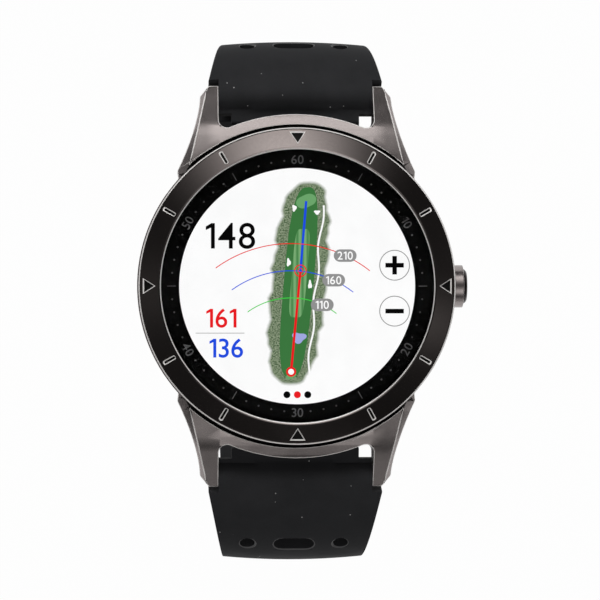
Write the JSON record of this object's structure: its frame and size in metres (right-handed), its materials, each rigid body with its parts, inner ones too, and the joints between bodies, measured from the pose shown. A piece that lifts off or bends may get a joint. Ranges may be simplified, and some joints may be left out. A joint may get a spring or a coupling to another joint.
{
  "type": "golf gps watch",
  "caption": "Round golf GPS watch with a dark steel case and conical bezel, a white dial display, a side push button and a two-piece black rubber strap with a pin buckle, shown open.",
  "frame": {"origin": "Centre of the flat case back, where the watch meets the wrist.", "axes": "+Z out of the dial, +Y to 12 o'clock, +X to the button at 3 o'clock."},
  "size_m": [0.0478, 0.0777, 0.1092],
  "materials": {
    "case_metal": "satin dark gunmetal",
    "bezel_metal": "polished dark gunmetal",
    "cover_glass": "clear flat glass",
    "dial_print": "black print with grey minute marks",
    "display_face": "lit white screen with a coloured map",
    "strap_rubber": "matt black silicone",
    "seal_rubber": "black rubber",
    "chassis_plastic": "moulded black",
    "board_green": "green solder resist",
    "chip_black": "black moulded package",
    "flex_amber": "amber film",
    "contact_gold": "gold plated",
    "bush_brass": "turned brass",
    "battery_foil": "foil pouch",
    "plain_steel": "turned steel",
    "back_plastic": "fine matt black",
    "button_metal": "satin dark gunmetal",
    "buckle_metal": "satin dark gunmetal"
  },
  "bodies": {
    "watch_head": {"case_body": "case_metal", "bezel_ring": "bezel_metal", "bezel_seal": "seal_rubber", "cover_glass": "cover_glass", "chapter_ring": "dial_print", "display_panel": "display_face", "display_flex": "flex_amber", "inner_frame": "chassis_plastic", "gps_antenna": "contact_gold", "main_board": "board_green", "board_chips": "chip_black", "board_screws": "plain_steel", "battery": "battery_foil", "battery_flex": "flex_amber", "vibration_motor": "plain_steel", "back_cover": "back_plastic", "back_seal": "seal_rubber", "back_screws": "plain_steel", "contact_block": "chassis_plastic", "charging_contacts": "contact_gold", "charging_flex": "flex_amber", "button_bush": "bush_brass", "tact_switch": "chip_black"},
    "button": {"button_cap": "button_metal", "button_stem": "plain_steel", "button_clip": "plain_steel", "button_o_ring": "seal_rubber", "button_spring": "plain_steel"},
    "upper_strap": {"strap_upper": "strap_rubber", "upper_bar_tube": "plain_steel", "upper_bar_spring": "plain_steel", "buckle_bar": "plain_steel", "keeper_fixed": "strap_rubber"},
    "upper_release": {"upper_release_tip": "plain_steel"},
    "lower_strap": {"strap_lower": "strap_rubber", "lower_bar_tube": "plain_steel", "lower_bar_spring": "plain_steel"},
    "lower_release": {"lower_release_tip": "plain_steel"},
    "buckle": {"buckle_frame": "buckle_metal"},
    "tang": {"buckle_tang": "buckle_metal"},
    "free_keeper": {"keeper_free": "strap_rubber"}
  },
  "joints": [
    {"name": "button_press", "type": "slide", "parent": "watch_head", "child": "button", "axis": [-1, 0, 0], "range_m": [0, 0.0006], "stiffness_N_per_m": 800, "springref_m": -0.0005, "deforming": ["button_spring"]},
    {"name": "upper_strap_hinge", "type": "hinge", "parent": "watch_head", "child": "upper_strap", "pos_m": [0, 0.0273, 0.0035], "axis": [1, 0, 0], "range_deg": [-8, 75]},
    {"name": "lower_strap_hinge", "type": "hinge", "parent": "watch_head", "child": "lower_strap", "pos_m": [0, -0.0273, 0.0035], "axis": [-1, 0, 0], "range_deg": [-8, 75]},
    {"name": "upper_release_slide", "type": "slide", "parent": "upper_strap", "child": "upper_release", "axis": [-1, 0, 0], "range_m": [0, 0.0012], "stiffness_N_per_m": 300, "springref_m": -0.0008, "deforming": ["upper_bar_spring"]},
    {"name": "lower_release_slide", "type": "slide", "parent": "lower_strap", "child": "lower_release", "axis": [-1, 0, 0], "range_m": [0, 0.0012], "stiffness_N_per_m": 300, "springref_m": -0.0008, "deforming": ["lower_bar_spring"]},
    {"name": "buckle_hinge", "type": "hinge", "parent": "upper_strap", "child": "buckle", "pos_m": [0, 0.01979, -0.06532], "axis": [1, 0, 0], "range_deg": [-60, 40]},
    {"name": "tang_hinge", "type": "hinge", "parent": "buckle", "child": "tang", "pos_m": [0, 0.01979, -0.06532], "axis": [1, 0, 0], "range_deg": [0, 80]},
    {"name": "keeper_slide", "type": "slide", "parent": "upper_strap", "child": "free_keeper", "axis": [0, -0.3584, -0.9336], "range_m": [-0.0045, 0.0045]}
  ]
}
